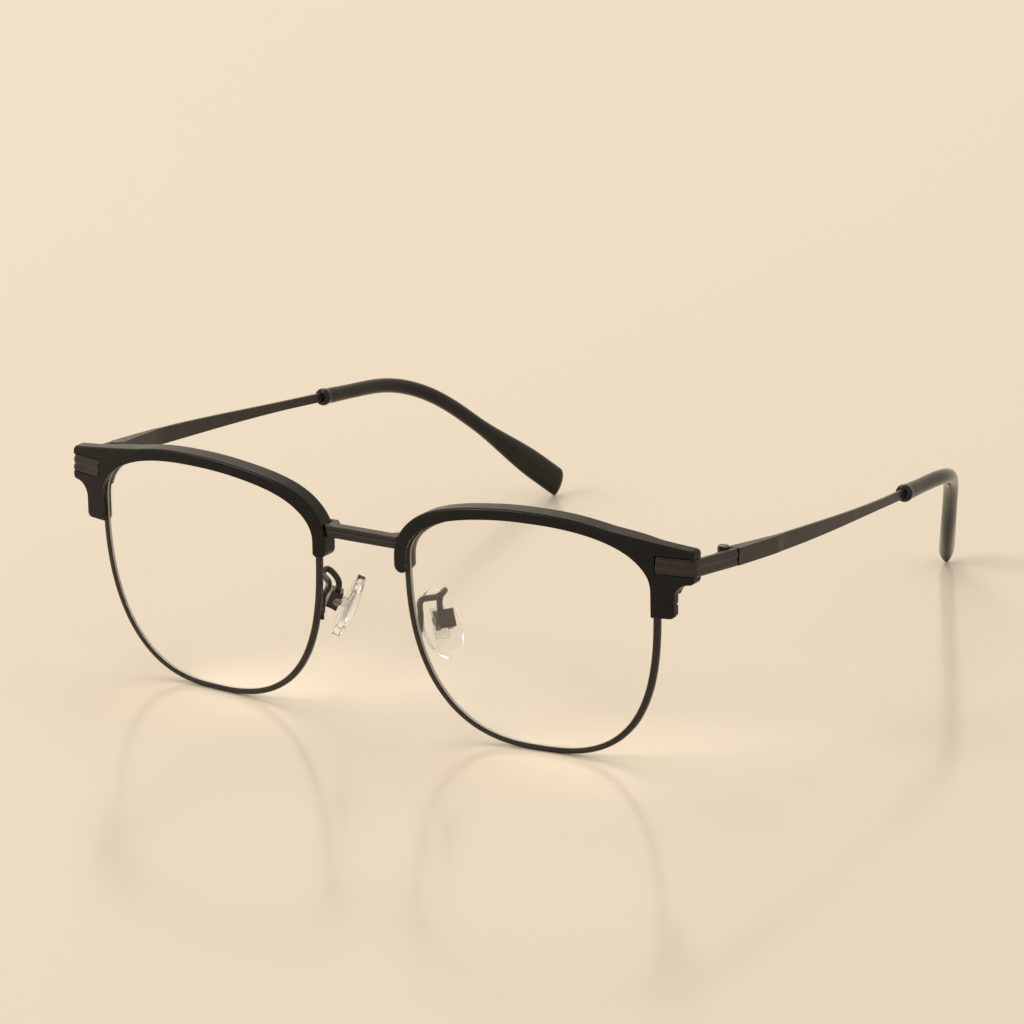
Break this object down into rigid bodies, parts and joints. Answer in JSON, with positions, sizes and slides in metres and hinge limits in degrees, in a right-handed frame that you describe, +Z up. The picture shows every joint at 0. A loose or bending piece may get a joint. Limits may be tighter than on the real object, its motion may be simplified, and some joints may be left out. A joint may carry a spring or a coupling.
{
  "type": "reading glasses",
  "caption": "Browline reading glasses with thin metal rims, channel brows, folding metal temples, long bent temple tips and rocking silicone nose pads.",
  "frame": {"origin": "on the table, below the middle of the open glasses as they stand on their rims and tips", "axes": "+X to the wearer's left, +Y from the front back along the temples, +Z up"},
  "size_m": [0.1418, 0.1436, 0.0481],
  "materials": {
    "gunmetal": "satin dark gunmetal",
    "brow": "satin black brow",
    "lens": "clear polished lens",
    "tip": "glossy black tip",
    "silicone": "clear silicone pad",
    "pad_core": "pale stiff pad core",
    "screw": "dark bright-edged steel"
  },
  "bodies": {
    "front": {"left_rim": "gunmetal", "right_rim": "gunmetal", "left_lens": "lens", "right_lens": "lens", "left_lock_screw": "screw", "right_lock_screw": "screw", "left_brow": "brow", "right_brow": "brow", "left_endpiece": "gunmetal", "right_endpiece": "gunmetal", "left_brow_screws": "screw", "right_brow_screws": "screw", "left_hinge_front": "gunmetal", "right_hinge_front": "gunmetal", "left_hinge_screw": "screw", "right_hinge_screw": "screw", "left_pad_arm": "gunmetal", "right_pad_arm": "gunmetal", "left_pad_screw": "screw", "right_pad_screw": "screw", "bridge": "gunmetal"},
    "left_temple": {"left_temple": "gunmetal", "left_temple_tip": "tip", "left_hinge_eye": "gunmetal"},
    "left_pad": {"left_nose_pad": "silicone", "left_pad_core": "pad_core"},
    "right_temple": {"right_temple": "gunmetal", "right_temple_tip": "tip", "right_hinge_eye": "gunmetal"},
    "right_pad": {"right_nose_pad": "silicone", "right_pad_core": "pad_core"}
  },
  "joints": [
    {"name": "left_temple_fold", "type": "hinge", "parent": "front", "child": "left_temple", "pos_m": [0.06851, -0.05276, 0.03915], "axis": [0, 0.1011, 0.9949], "range_deg": [0, 80]},
    {"name": "right_temple_fold", "type": "hinge", "parent": "front", "child": "right_temple", "pos_m": [-0.06851, -0.05276, 0.03915], "axis": [0, -0.1011, -0.9949], "range_deg": [0, 70]},
    {"name": "left_pad_rock", "type": "hinge", "parent": "front", "child": "left_pad", "pos_m": [0.0124, -0.06096, 0.02054], "axis": [-0.5446, -0.8387, 0], "range_deg": [-10, 10]},
    {"name": "right_pad_rock", "type": "hinge", "parent": "front", "child": "right_pad", "pos_m": [-0.0124, -0.06096, 0.02054], "axis": [0.5446, -0.8387, 0], "range_deg": [-10, 10]}
  ]
}
